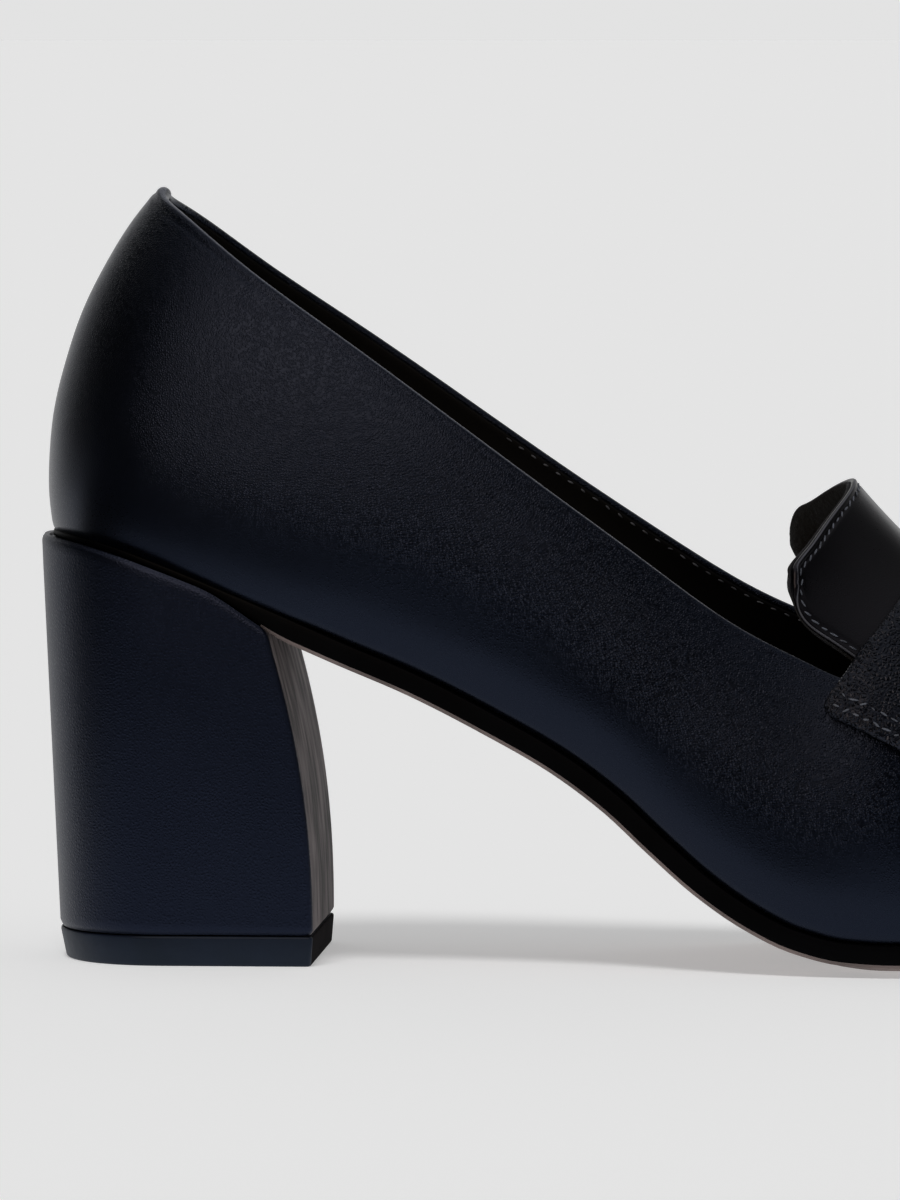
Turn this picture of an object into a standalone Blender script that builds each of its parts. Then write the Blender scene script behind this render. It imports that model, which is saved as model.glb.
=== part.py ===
"""Loafer pump: a right shoe with a saddle strap, a raised tongue and a covered block heel.

The toe points along +X, the little-toe side faces -Y and the shoe stands on z = 0. The origin is
the middle of the heel's tread. The tables are in millimetres and the meshes in metres.
"""

import bpy
import bmesh
import math
import numpy as np
from collections import namedtuple
from mathutils import Vector

MM = 0.001

# Leather and sole thicknesses
UPPER_WALL = 2.0
TONGUE_WALL = 1.9
STRAP_WALL = 1.6
INSOLE_THICK = 2.0
SOLE_SEAT_THICK = 1.2
SOLE_THICK = 4.0
PIECE_GAP = 0.3

# Heel block: the back leans forward and the breast sweeps forward as they go down
HEEL_TOP_BACK_X = -28.2
HEEL_TOP_HALF = 27.4
HEEL_TOP_ROUND = 24.0
HEEL_FOOT_BACK_X = -25.0
HEEL_FOOT_HALF = 24.6
HEEL_FOOT_ROUND = 19.5
HEEL_CORNER_POWER = 2.2
BREAST_FOOT_X = 21.9
BREAST_SWEEP = 8.1
BREAST_POWER = 2.2
BREAST_HEIGHT = 54.4
LIFT_HEIGHT = 5.3
LIFT_TAPER = 1.1
LIFT_FRONT_TAPER = 0.4

# Outsole outline beyond the feather line, and within it over the seat
SOLE_OVERHANG = 0.5
SEAT_INSET = 0.2

# The tread is crowned: its middle lies this far below the sole's edges, flat over this share of the
# half width, growing in over the first span and fading where the toe narrows to the given width
CROWN_DROP = 1.7
CROWN_FLAT_SHARE = 0.6
CROWN_RAMP_X = (98.0, 122.0)
CROWN_TOE_HALF = 26.0

# The seat's curve is worked out up to here, past the heel's breast, at this many points
SEAT_FRONT_X = 60.0
SEAT_STEPS = 181

# Where the seat's thin sole starts and stops growing to its full thickness
SOLE_RAMP_X = (2.0, 20.0)

# Saddle strap: its rear edge lies in a plane through this point that rises forward at this angle,
# and its other lines across the vamp lie in planes parallel to that one, up to its width. The reach
# is its length from the ridge down to each end, along the skin.
STRAP_REAR_X = 111.9
STRAP_REAR_Z = 47.3
STRAP_ANGLE = math.radians(54.3)
STRAP_WIDTH = 31.0
STRAP_REACH_REAR = 50.0
STRAP_REACH_FRONT = 48.5
STRAP_CORNER = 3.0
STRAP_GAP = 0.5
STRAP_EDGE_LINES = (0.0, 0.4, 1.2, 3.0)
STRAP_MIDDLE_LINES = 5

# Where the strap's lines are looked for on the skin: rows to each side of the ridge and wall shares,
# which run a little past the throat's edge
STRAP_SEARCH_ROWS = 8.0
STRAP_SEARCH_WALL = (0.02, 1.12)
STRAP_SEARCH_STEPS = (320, 220)

# The tongue's foot runs forward under the vamp by this share of the wall's height, over this many
# rows to each side of the ridge
TONGUE_FOOT_SHARE = 0.11
TONGUE_SPAN = 5.4

# Mesh counts: steps between two rows of the ring, up the wall, across and along each piece
RING_STEPS = 3
WALL_STEPS = 15
PLATE_ALONG = 54
PLATE_ACROSS = 6
HEEL_LEVELS = 9
HEEL_ROUND_STEPS = 15
HEEL_FLANK_STEPS = 4
STRAP_ACROSS = 28
TONGUE_ACROSS = 24
TONGUE_FOOT_STEPS = 3
TONGUE_FLAP_STEPS = 8

# Edges that turn more than this stay crisp in the shading
SHARP_ANGLE = math.radians(40.0)

# Points well inside the shoe and under the vamp, which the skins' outer faces look away from
SHOE_MIDDLE = (60.0, 0.0, 60.0)
VAMP_MIDDLE = (125.0, 0.0, 30.0)

# Doubles nearer than this and edges shorter than this, in metres, are merged
MERGE_DISTANCE = 0.00002
SHORT_EDGE = 0.00001

# Small steps for the slopes of the curves: along the shoe in mm, in rows and in wall shares
SLOPE_STEP = 0.5
ROW_STEP = 0.02
WALL_STEP = 0.01

# One row for each section, from the back of the heel to the toe. The foot columns give the feather
# line in plan, with the half widths of the two sides. The top columns give the topline, and from
# the ball forward the throat edge, with how much higher the medial side is. Flare and rise aim the
# wall at the feather, outward and up, and spread, reach and drop aim it below the top edge,
# sideways, forward and down.
Section = namedtuple("Section", "foot_x lateral medial top_x top_half top_z medial_up "
                                "flare rise spread reach drop")
SECTIONS = [
    Section(-26.3, 0.0, 0.0, -7.6, 0.0, 136.4, 0.0, 3.7, 20.0, 0.0, -13.4, 14.4),
    Section(-19.5, 17.0, 16.8, -1.0, 12.8, 131.8, 0.0, 3.6, 19.0, 7.0, -6.0, 14.5),
    Section(-5.0, 24.0, 23.3, 11.5, 21.0, 122.2, 0.0, 4.3, 17.0, 6.0, -1.5, 14.5),
    Section(14.0, 25.5, 24.0, 27.5, 25.8, 111.0, 0.2, 5.0, 15.0, 4.5, 0.0, 14.0),
    Section(36.0, 25.0, 21.5, 45.0, 27.2, 98.3, 0.8, 5.5, 14.0, 3.5, 0.0, 13.0),
    Section(58.0, 25.5, 18.5, 63.0, 27.0, 85.0, 1.6, 5.5, 13.5, 3.2, 0.0, 13.0),
    Section(78.0, 28.5, 20.8, 80.0, 26.6, 72.6, 2.8, 5.0, 14.0, 4.5, 0.0, 14.0),
    Section(96.0, 33.5, 26.5, 95.5, 27.2, 61.6, 4.2, 4.0, 15.0, 6.5, 0.0, 15.0),
    Section(112.0, 37.5, 32.5, 108.5, 28.8, 54.9, 4.8, 3.5, 16.0, 8.0, 0.0, 16.0),
    Section(127.0, 39.0, 37.0, 117.6, 30.4, 51.9, 4.4, 3.0, 15.0, 10.0, 2.0, 14.0),
    Section(143.0, 37.8, 38.3, 121.3, 27.0, 57.2, 3.8, 3.0, 14.0, 11.0, 7.0, 17.0),
    Section(160.0, 34.0, 36.5, 125.0, 21.3, 62.6, 2.9, 3.2, 14.0, 10.0, 14.0, 20.0),
    Section(177.0, 27.5, 31.5, 128.2, 14.8, 67.2, 1.8, 3.5, 15.0, 8.0, 22.0, 25.0),
    Section(192.0, 18.5, 23.5, 130.6, 8.6, 70.4, 0.8, 4.0, 17.0, 5.0, 30.0, 30.0),
    Section(201.5, 8.0, 14.0, 131.7, 3.6, 71.9, 0.3, 4.5, 19.0, 2.0, 36.0, 33.0),
    Section(204.5, -4.0, 4.0, 131.9, 0.0, 72.2, 0.0, 5.0, 20.0, 0.0, 38.0, 34.0),
]
FIRST_THROAT_ROW = 9

# Height of the last's bottom along the shoe: seat, shank, tread and toe spring
Level = namedtuple("Level", "x z")
LAST_BOTTOM = [
    Level(-30.0, 76.9), Level(-20.0, 75.6), Level(-13.0, 73.9), Level(-6.0, 71.5), Level(1.0, 68.8),
    Level(14.0, 63.4), Level(28.0, 57.3), Level(40.0, 52.2), Level(55.0, 44.6), Level(66.0, 38.4),
    Level(76.0, 31.2), Level(84.0, 24.0), Level(92.0, 17.2), Level(100.0, 11.9), Level(108.0, 8.2),
    Level(116.0, 6.4), Level(124.0, 6.0), Level(152.0, 6.0), Level(168.0, 6.6), Level(184.0, 8.5),
    Level(196.0, 10.9), Level(206.0, 13.4),
]

# The tongue's free length at points across it, from the lateral to the medial edge. The turn
# columns say how far its curve bends back, sideways and up from the throat, and the last three
# where its top edge lies from there.
Flap = namedtuple("Flap", "across turn_back turn_side turn_up back side up")
TONGUE_FLAPS = [
    Flap(-1.0, -15.2, 1.2, 10.6, -12.8, 1.8, 19.2),
    Flap(-0.5, -9.5, 0.3, 7.4, -15.6, -0.4, 13.6),
    Flap(0.0, -7.5, 0.0, 6.9, -14.0, 0.0, 14.4),
    Flap(0.5, -10.5, -0.8, 7.6, -15.8, -2.0, 15.4),
    Flap(1.0, -20.0, -1.8, 7.2, -17.6, -4.2, 20.0),
]


def monotone_curve(knots_x, knots_y, x):
    """Cubic through the knots that never overshoots them, flat where two knots are level."""
    kx = np.asarray(knots_x, float)
    ky = np.asarray(knots_y, float)
    step = np.diff(kx)
    slope = np.diff(ky) / step
    tangent = np.zeros(len(kx))
    same = slope[:-1] * slope[1:] > 0.0
    w1 = 2.0 * step[1:] + step[:-1]
    w2 = step[1:] + 2.0 * step[:-1]
    safe_a = np.where(same, slope[:-1], 1.0)
    safe_b = np.where(same, slope[1:], 1.0)
    tangent[1:-1] = np.where(same, (w1 + w2) / (w1 / safe_a + w2 / safe_b), 0.0)
    tangent[0] = slope[0]
    tangent[-1] = slope[-1]
    x = np.clip(np.asarray(x, float), kx[0], kx[-1])
    i = np.clip(np.searchsorted(kx, x) - 1, 0, len(kx) - 2)
    h = step[i]
    f = (x - kx[i]) / h
    return (ky[i] * (1 + 2 * f) * (1 - f) ** 2 + h * tangent[i] * f * (1 - f) ** 2
            + ky[i + 1] * f * f * (3 - 2 * f) + h * tangent[i + 1] * f * f * (f - 1))


def ring_curve(values, u):
    """Closed cubic through evenly numbered rows of values, read at the row numbers u."""
    values = np.asarray(values, float)
    n = len(values)
    system = 4.0 * np.eye(n) + np.roll(np.eye(n), 1, axis=1) + np.roll(np.eye(n), -1, axis=1)
    ahead = np.roll(values, -1, axis=0)
    behind = np.roll(values, 1, axis=0)
    tangent = np.linalg.solve(system, 3.0 * (ahead - behind))
    u = np.asarray(u, float) % n
    i = np.floor(u).astype(int) % n
    j = (i + 1) % n
    f = (u - np.floor(u))[..., None]
    return (values[i] * (1 + 2 * f) * (1 - f) ** 2 + tangent[i] * f * (1 - f) ** 2
            + values[j] * f * f * (3 - 2 * f) + tangent[j] * f * f * (f - 1))


def smooth_step(x, start, stop):
    """0 before start, 1 after stop, easing between."""
    f = np.clip((np.asarray(x, float) - start) / (stop - start), 0.0, 1.0)
    return f * f * (3 - 2 * f)


def last_bottom(x):
    """Height of the last's bottom at x."""
    return monotone_curve([k.x for k in LAST_BOTTOM], [k.z for k in LAST_BOTTOM], x)


def below_last(x, depth):
    """Points of the last's bottom curve moved square to the curve, down by depth."""
    x = np.asarray(x, float)
    slope = (last_bottom(x + SLOPE_STEP) - last_bottom(x - SLOPE_STEP)) / (2.0 * SLOPE_STEP)
    run = np.sqrt(1.0 + slope * slope)
    return x + depth * slope / run, last_bottom(x) - depth / run


def section_rows():
    """The rows once round the shoe, toe first, down the lateral side, round the back and up the medial."""
    lateral = [(row, -1.0) for row in SECTIONS[::-1]]
    medial = [(row, 1.0) for row in SECTIONS[1:-1]]
    rows = []
    for row, side in lateral + medial:
        foot_y = side * (row.medial if side > 0 else row.lateral)
        up = row.medial_up if side > 0 else 0.0
        at_throat = SECTIONS.index(row) >= FIRST_THROAT_ROW
        forward = up / math.tan(STRAP_ANGLE) if at_throat else 0.0
        rows.append((row.foot_x, foot_y, row.top_x + forward, side * row.top_half, row.top_z + up,
                     row.flare, row.rise, side * row.spread, row.reach, row.drop))
    return np.array(rows)


ROWS = section_rows()
ROW_COUNT = len(ROWS)
BACK_ROW = len(SECTIONS) - 1
SEAT_ROWS = (BACK_ROW - 4.0, BACK_ROW - 2.0)


def feather_plan(u, outset=0.0):
    """The feather line in plan, moved outward by outset, and its outward direction."""
    here = ring_curve(ROWS[:, :2], u)
    ahead = ring_curve(ROWS[:, :2], np.asarray(u) + ROW_STEP)
    behind = ring_curve(ROWS[:, :2], np.asarray(u) - ROW_STEP)
    along = ahead - behind
    along = along / np.linalg.norm(along, axis=-1, keepdims=True)
    out = np.stack([-along[..., 1], along[..., 0]], axis=-1)
    return here + np.asarray(outset, float)[..., None] * out, out


def upper_skin(u, t):
    """Outer face of the upper: a cubic arc from the feather line, t = 0, to the top edge, t = 1."""
    u, t = np.broadcast_arrays(np.asarray(u, float), np.asarray(t, float))
    values = ring_curve(ROWS, u)
    plan, out = feather_plan(u)
    foot = np.stack([plan[..., 0], plan[..., 1], last_bottom(plan[..., 0])], axis=-1)
    top = values[..., 2:5]
    flare, rise, spread, reach, drop = [values[..., k, None] for k in range(5, 10)]
    lift = np.array([0.0, 0.0, 1.0])
    low = foot + flare * np.concatenate([out, np.zeros(out.shape[:-1] + (1,))], axis=-1) + rise * lift
    high = top + np.concatenate([reach, spread, -drop], axis=-1)
    t = t[..., None]
    return ((1 - t) ** 3 * foot + 3 * t * (1 - t) ** 2 * low + 3 * t * t * (1 - t) * high + t ** 3 * top)


def upper_normal(u, t):
    """Unit normal of the upper's outer face, pointing out of the shoe."""
    along = upper_skin(np.asarray(u) + ROW_STEP, t) - upper_skin(np.asarray(u) - ROW_STEP, t)
    upward = upper_skin(u, np.asarray(t) + WALL_STEP) - upper_skin(u, np.asarray(t) - WALL_STEP)
    normal = np.cross(upward, along)
    return normal / np.linalg.norm(normal, axis=-1, keepdims=True)


def new_object(name, verts, faces, material):
    """A mesh object from points in millimetres, its doubles merged and its normals turned out."""
    mesh = bpy.data.meshes.new(name)
    mesh.from_pydata([tuple(v) for v in np.asarray(verts, float) * MM], [], faces)
    work = bmesh.new()
    work.from_mesh(mesh)
    bmesh.ops.remove_doubles(work, verts=work.verts, dist=MERGE_DISTANCE)
    bmesh.ops.dissolve_degenerate(work, dist=SHORT_EDGE, edges=work.edges)
    bmesh.ops.recalc_face_normals(work, faces=work.faces)
    work.to_mesh(mesh)
    work.free()
    mesh.shade_smooth()
    mesh.set_sharp_from_angle(angle=SHARP_ANGLE)
    mesh.materials.append(material)
    part = bpy.data.objects.new(name, mesh)
    PARTS.objects.link(part)
    return part


def grid_faces(rows, columns, closed=False):
    """Quads of a grid of points, numbered row by row, its last column joined to its first if closed."""
    faces = []
    for i in range(rows - 1):
        for j in range(columns if closed else columns - 1):
            k = (j + 1) % columns
            faces.append((i * columns + j, i * columns + k, (i + 1) * columns + k, (i + 1) * columns + j))
    return faces


def add_wall(part, thickness, side):
    """Give an open skin its leather thickness, inward for side -1 and outward for side +1."""
    wall = part.modifiers.new("wall", 'SOLIDIFY')
    wall.thickness = thickness * MM
    wall.offset = side
    wall.use_even_offset = True
    wall.use_rim = True


def aim_skin_outward(part, inside):
    """Turn an open skin's faces away from a point inside it."""
    mesh = part.data
    centre = Vector(inside) * MM
    votes = sum((face.center - centre).dot(face.normal) * face.area for face in mesh.polygons)
    if votes < 0.0:
        mesh.flip_normals()


def make_upper(material):
    """The hollow upper: one wall round the shoe, open at the collar and under the foot."""
    u = np.arange(ROW_COUNT * RING_STEPS) / RING_STEPS
    t = np.linspace(0.0, 1.0, WALL_STEPS + 1)
    skin = upper_skin(u[None, :], t[:, None])
    faces = grid_faces(len(t), len(u), closed=True)
    part = new_object("upper", skin.reshape(-1, 3), faces, material)
    aim_skin_outward(part, SHOE_MIDDLE)
    add_wall(part, UPPER_WALL, -1.0)
    return part


def plate_pairs(outset, steps):
    """Matching points down the two sides of the shoe in plan, from the toe to the back."""
    u = np.linspace(0.0, BACK_ROW, steps + 1)
    lateral, _ = feather_plan(u, outset(u))
    medial, _ = feather_plan(ROW_COUNT - u, outset(u))
    return lateral, medial


def make_plate(name, outset, top_depth, bottom_depth, material, crown=None):
    """A plate that follows the last's bottom between two depths below it.

    Each step along the shoe has a row of points across it, at even shares of the half width, and
    the crown lowers those of the bottom face.
    """
    steps = PLATE_ALONG
    lateral, medial = plate_pairs(outset, steps)
    shares = np.linspace(-1.0, 1.0, PLATE_ACROSS + 1)
    mix = (shares[None, :, None] + 1.0) / 2.0
    plan = lateral[:, None, :] * (1.0 - mix) + medial[:, None, :] * mix
    half = np.abs(medial[:, 1] - lateral[:, 1])[:, None] / 2.0
    levels = []
    for depth, drop in ((top_depth, None), (bottom_depth, crown)):
        x, z = below_last(plan[..., 0], depth(plan[..., 0]))
        if drop is not None:
            z = z - drop(x, half, np.abs(shares)[None, :])
        levels.append(np.stack([x, plan[..., 1], z], axis=-1).reshape(-1, 3))
    across = PLATE_ACROSS + 1
    count = (steps + 1) * across
    faces = grid_faces(steps + 1, across)
    faces += [tuple(count + k for k in reversed(face)) for face in faces]
    for i in range(steps):
        for j in (0, PLATE_ACROSS):
            a, b = (i * across + j, (i + 1) * across + j)
            faces.append((a, b, count + b, count + a))
    return new_object(name, np.concatenate(levels), faces, material)


def tread_crown(x, half, share):
    """How far the outsole's bottom drops below its edges: all of it in the middle, none at the edge."""
    along = smooth_step(x, *CROWN_RAMP_X) * smooth_step(half, 0.0, CROWN_TOE_HALF)
    return CROWN_DROP * along * (1.0 - smooth_step(share, CROWN_FLAT_SHARE, 1.0))


def sole_thickness(x):
    """The outsole is skived thin over the heel's seat and grows to full thickness at the breast."""
    return SOLE_SEAT_THICK + (SOLE_THICK - SOLE_SEAT_THICK) * smooth_step(x, *SOLE_RAMP_X)


def make_outsole(material):
    """The sole: level with the seat, under the shank and the tread, to the toe."""
    def outset(u):
        seat = smooth_step(u, *SEAT_ROWS)
        return SOLE_OVERHANG - (SOLE_OVERHANG + SEAT_INSET) * seat
    return make_plate("outsole", outset, lambda x: np.full(x.shape, PIECE_GAP),
                      lambda x: PIECE_GAP + sole_thickness(x), material, crown=tread_crown)


def make_insole(material):
    """The insole board and sock, which fill the floor of the shoe between the walls."""
    inset = -(UPPER_WALL + 2.0 * PIECE_GAP)
    return make_plate("insole", lambda u: np.full(u.shape, inset),
                      lambda x: np.full(x.shape, -INSOLE_THICK), lambda x: np.zeros(x.shape), material)


def heel_half(back_x, half, round_depth, front_x, count):
    """One side of a heel outline: a rounded back quarter, then straight to the breast."""
    angle = np.linspace(0.0, math.pi / 2, count)
    power = 2.0 / HEEL_CORNER_POWER
    x = back_x + round_depth * (1.0 - np.cos(angle) ** power)
    y = half * np.sin(angle) ** power
    run = np.linspace(x[-1], front_x, HEEL_FLANK_STEPS + 1)[1:]
    return np.concatenate([x, run]), np.concatenate([y, np.full(len(run), half)])


def breast_x(z):
    """The breast's profile, which sweeps forward as it goes down."""
    share = np.clip((np.asarray(z, float) - LIFT_HEIGHT) / BREAST_HEIGHT, 0.0, 1.2)
    return BREAST_FOOT_X - BREAST_SWEEP * share ** BREAST_POWER


def make_block(name, levels, material):
    """A block between outlines stacked from its foot up, each a pair of mirrored sides."""
    count = len(levels[0][0])
    verts = []
    for x, y, z in levels:
        verts += list(zip(x, -y, z)) + list(zip(x, y, z))
    faces = []
    for k in range(len(levels) - 1):
        low = 2 * count * k
        high = low + 2 * count
        for i in range(count - 1):
            faces.append((low + i, low + i + 1, high + i + 1, high + i))
            faces.append((low + count + i, high + count + i, high + count + i + 1, low + count + i + 1))
        end = count - 1
        faces.append((low + end, low + count + end, high + count + end, high + end))
    last = 2 * count * (len(levels) - 1)
    for base in (0, last):
        for i in range(count - 1):
            faces.append((base + i, base + i + 1, base + count + i + 1, base + count + i))
    return new_object(name, verts, faces, material)


def heel_seat_z(x):
    """Height of the heel's top face at x, one gap under the outsole."""
    along = np.linspace(LAST_BOTTOM[0].x, SEAT_FRONT_X, SEAT_STEPS)
    at, height = below_last(along, 2.0 * PIECE_GAP + sole_thickness(along))
    return np.interp(x, at, height)


def heel_level(share):
    """The heel's outline at a share of its height, with its top following the seat."""
    top_front = BREAST_FOOT_X - BREAST_SWEEP
    for _ in range(4):
        top_front = float(breast_x(heel_seat_z(top_front)))
    x_top, y_top = heel_half(HEEL_TOP_BACK_X, HEEL_TOP_HALF, HEEL_TOP_ROUND, top_front, HEEL_ROUND_STEPS)
    x_low, y_low = heel_half(HEEL_FOOT_BACK_X, HEEL_FOOT_HALF, HEEL_FOOT_ROUND, BREAST_FOOT_X,
                             HEEL_ROUND_STEPS)
    foot_z = LIFT_HEIGHT + PIECE_GAP
    x = x_low + (x_top - x_low) * share
    y = y_low + (y_top - y_low) * share
    z = foot_z + (heel_seat_z(x_top) - foot_z) * share
    flank = HEEL_ROUND_STEPS - 1
    straight = np.clip((x - x[flank]) / (x[-1] - x[flank]), 0.0, 1.0)
    return x + straight * (breast_x(z[-1]) - x[-1]), y, z


def make_heel(material):
    """The leather-covered block under the seat."""
    levels = [heel_level(share) for share in np.linspace(0.0, 1.0, HEEL_LEVELS + 1)]
    return make_block("heel", levels, material)


def make_top_lift(material):
    """The wearing piece under the heel, tapered to its tread."""
    levels = []
    for z, taper, front in ((0.0, LIFT_TAPER, LIFT_FRONT_TAPER), (LIFT_HEIGHT, 0.0, 0.0)):
        x, y = heel_half(HEEL_FOOT_BACK_X + taper, HEEL_FOOT_HALF - taper / 2, HEEL_FOOT_ROUND,
                         BREAST_FOOT_X - front, HEEL_ROUND_STEPS)
        levels.append((x, y, np.full(len(x), z)))
    return make_block("top_lift", levels, material)


def strap_distance(points):
    """How far points lie in front of the plane of the strap's rear edge."""
    forward = np.array([math.sin(STRAP_ANGLE), 0.0, -math.cos(STRAP_ANGLE)])
    return (points - np.array([STRAP_REAR_X, 0.0, STRAP_REAR_Z])) @ forward


def strap_line(distance, count):
    """Where a plane of the strap meets the upper's skin, cut to the strap's reach and evenly spaced."""
    u = np.linspace(-STRAP_SEARCH_ROWS, STRAP_SEARCH_ROWS, STRAP_SEARCH_STEPS[0] + 1)
    t = np.linspace(*STRAP_SEARCH_WALL, STRAP_SEARCH_STEPS[1] + 1)
    depth = strap_distance(upper_skin(u[:, None], t[None, :]))
    crossing = np.full(len(u), np.nan)
    for i, row in enumerate(depth):
        hit = np.nonzero((row[:-1] >= distance) & (row[1:] < distance))[0]
        if len(hit):
            k = hit[-1]
            crossing[i] = t[k] + (t[k + 1] - t[k]) * (row[k] - distance) / (row[k] - row[k + 1])
    keep = ~np.isnan(crossing)
    u, crossing = u[keep], crossing[keep]
    points = upper_skin(u, crossing)
    run = np.concatenate([[0.0], np.cumsum(np.linalg.norm(np.diff(points, axis=0), axis=1))])
    run = run - np.interp(0.0, u, run)
    share = distance / STRAP_WIDTH
    reach = STRAP_REACH_REAR + (STRAP_REACH_FRONT - STRAP_REACH_REAR) * share
    corner = min(distance, STRAP_WIDTH - distance)
    if corner < STRAP_CORNER:
        reach -= STRAP_CORNER - math.sqrt(STRAP_CORNER ** 2 - (STRAP_CORNER - corner) ** 2)
    at = np.linspace(max(-reach, run[0]), min(reach, run[-1]), count)
    return np.interp(at, run, u), np.interp(at, run, crossing)


def make_strap(material):
    """The saddle strap, laid over the vamp from the upper's own skin."""
    edge = np.array(STRAP_EDGE_LINES)
    middle = np.linspace(edge[-1], STRAP_WIDTH - edge[-1], STRAP_MIDDLE_LINES + 2)[1:-1]
    distances = np.concatenate([edge, middle, STRAP_WIDTH - edge[::-1]])
    lines = []
    for distance in distances:
        u, t = strap_line(distance, STRAP_ACROSS + 1)
        lines.append(upper_skin(u, t) + upper_normal(u, t) * STRAP_GAP)
    verts = np.concatenate(lines)
    part = new_object("saddle_strap", verts, grid_faces(len(lines), STRAP_ACROSS + 1), material)
    aim_skin_outward(part, VAMP_MIDDLE)
    add_wall(part, STRAP_WALL, 1.0)
    return part


def make_tongue(material):
    """The tongue: its foot lies under the vamp, and the rest rises out of the throat."""
    across = np.linspace(-1.0, 1.0, TONGUE_ACROSS + 1)
    u = -across * TONGUE_SPAN
    lines = []
    for t in np.linspace(1.0 - TONGUE_FOOT_SHARE, 1.0, TONGUE_FOOT_STEPS + 1):
        lines.append(upper_skin(u, t) - upper_normal(u, t) * (UPPER_WALL + PIECE_GAP))
    throat = lines[-1]
    table = np.array(TONGUE_FLAPS)
    curves = np.polyfit(table[:, 0], table[:, 1:], len(table) - 1)
    bend = np.stack([np.polyval(curves[:, k], across) for k in range(6)], axis=-1)
    turn, end = bend[:, :3], bend[:, 3:]
    for share in np.linspace(0.0, 1.0, TONGUE_FLAP_STEPS + 1)[1:]:
        lines.append(throat + 2.0 * share * (1.0 - share) * turn + share * share * end)
    verts = np.concatenate(lines)
    part = new_object("tongue", verts, grid_faces(len(lines), len(across)), material)
    aim_skin_outward(part, VAMP_MIDDLE)
    add_wall(part, TONGUE_WALL, -1.0)
    return part


def finish(name, colour, roughness):
    """A plain finish for one sub-part."""
    material = bpy.data.materials.new(name)
    material.use_nodes = True
    shader = material.node_tree.nodes["Principled BSDF"]
    shader.inputs["Base Color"].default_value = (*colour, 1.0)
    shader.inputs["Roughness"].default_value = roughness
    shader.inputs["Metallic"].default_value = 0.0
    return material


for old in list(bpy.data.objects):
    bpy.data.objects.remove(old, do_unlink=True)
PARTS = bpy.data.collections.new("loafer_pump")
bpy.context.scene.collection.children.link(PARTS)

make_upper(finish("upper_leather", (0.010, 0.012, 0.022), 0.42))
make_tongue(finish("tongue_leather", (0.010, 0.011, 0.018), 0.45))
make_strap(finish("strap_leather", (0.011, 0.012, 0.020), 0.45))
make_insole(finish("insole_sock", (0.012, 0.012, 0.014), 0.60))
make_outsole(finish("outsole_leather", (0.014, 0.013, 0.015), 0.50))
make_heel(finish("heel_cover", (0.011, 0.014, 0.026), 0.48))
make_top_lift(finish("top_lift_rubber", (0.014, 0.016, 0.028), 0.60))
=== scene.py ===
"""Looks of the loafer pump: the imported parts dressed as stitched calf, covered heel and painted sole.

The toe points along +X, the little-toe side faces -Y and the floor is z = 0. Tables and shapes are
in millimetres, and the meshes are in metres.
"""

import math

import bmesh
import bpy
import numpy as np
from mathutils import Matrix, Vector


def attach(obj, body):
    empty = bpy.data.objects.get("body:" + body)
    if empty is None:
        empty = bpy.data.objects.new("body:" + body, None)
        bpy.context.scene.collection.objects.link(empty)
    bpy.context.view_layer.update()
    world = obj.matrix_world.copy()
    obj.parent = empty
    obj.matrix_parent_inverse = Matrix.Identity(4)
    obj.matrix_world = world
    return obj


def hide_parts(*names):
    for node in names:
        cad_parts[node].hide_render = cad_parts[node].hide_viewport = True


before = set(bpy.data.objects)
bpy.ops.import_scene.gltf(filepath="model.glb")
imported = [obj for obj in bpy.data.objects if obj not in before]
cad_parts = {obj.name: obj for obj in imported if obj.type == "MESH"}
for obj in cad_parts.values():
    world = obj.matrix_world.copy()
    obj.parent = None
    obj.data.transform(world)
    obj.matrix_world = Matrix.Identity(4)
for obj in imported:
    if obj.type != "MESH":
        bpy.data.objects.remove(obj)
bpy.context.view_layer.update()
MM = 0.001

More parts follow.
